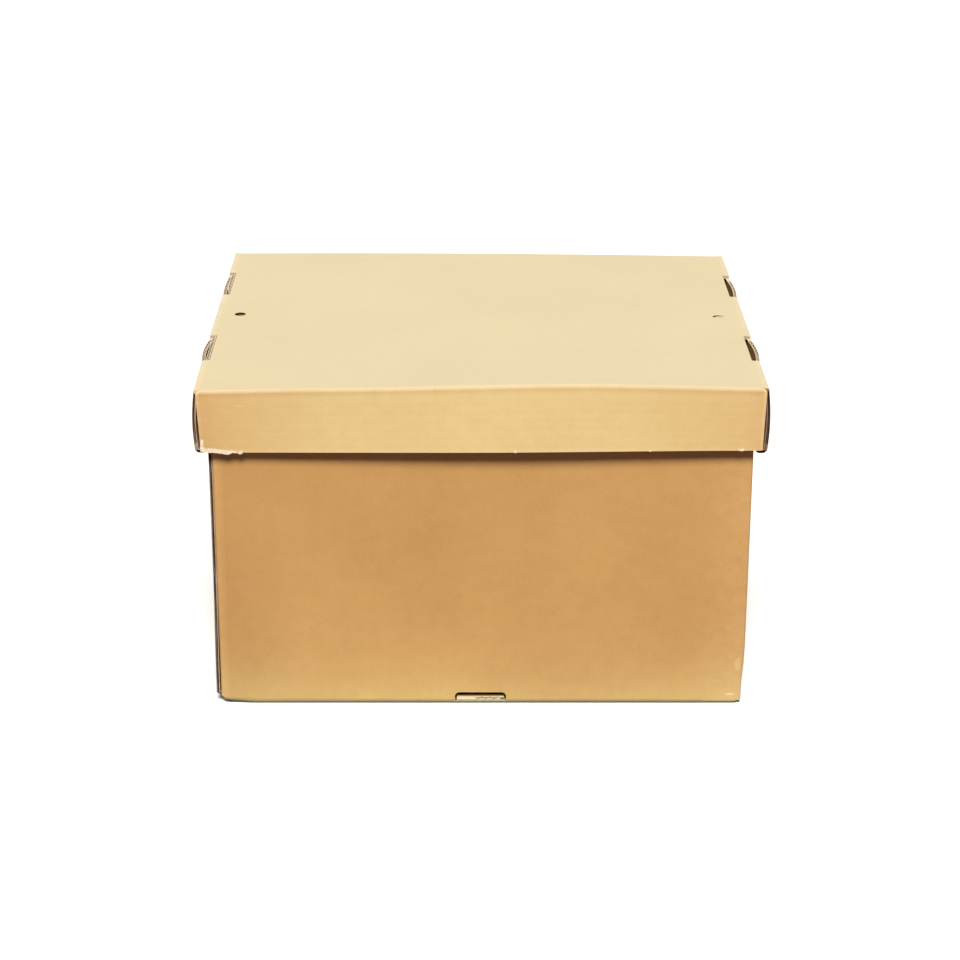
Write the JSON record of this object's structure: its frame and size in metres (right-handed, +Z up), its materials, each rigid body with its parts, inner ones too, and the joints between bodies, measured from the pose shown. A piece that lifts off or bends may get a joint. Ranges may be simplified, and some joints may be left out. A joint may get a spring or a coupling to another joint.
{
  "type": "closed cardboard box",
  "caption": "Closed kraft corrugated archive box: a folded and glued body with hand holes, under a separate lift-off tray lid with rolled end walls.",
  "frame": {"origin": "middle of the underside, on the surface that the box stands on", "axes": "+X to the right along the box's width, -Y towards the front wall with the tongue slot, +Z up"},
  "size_m": [0.4338, 0.365, 0.2635],
  "materials": {
    "body_board": "uncoated kraft liner, matte",
    "lid_board": "uncoated light kraft liner, matte"
  },
  "bodies": {
    "root": {"body": "body_board", "lid": "lid_board"}
  },
  "joints": []
}
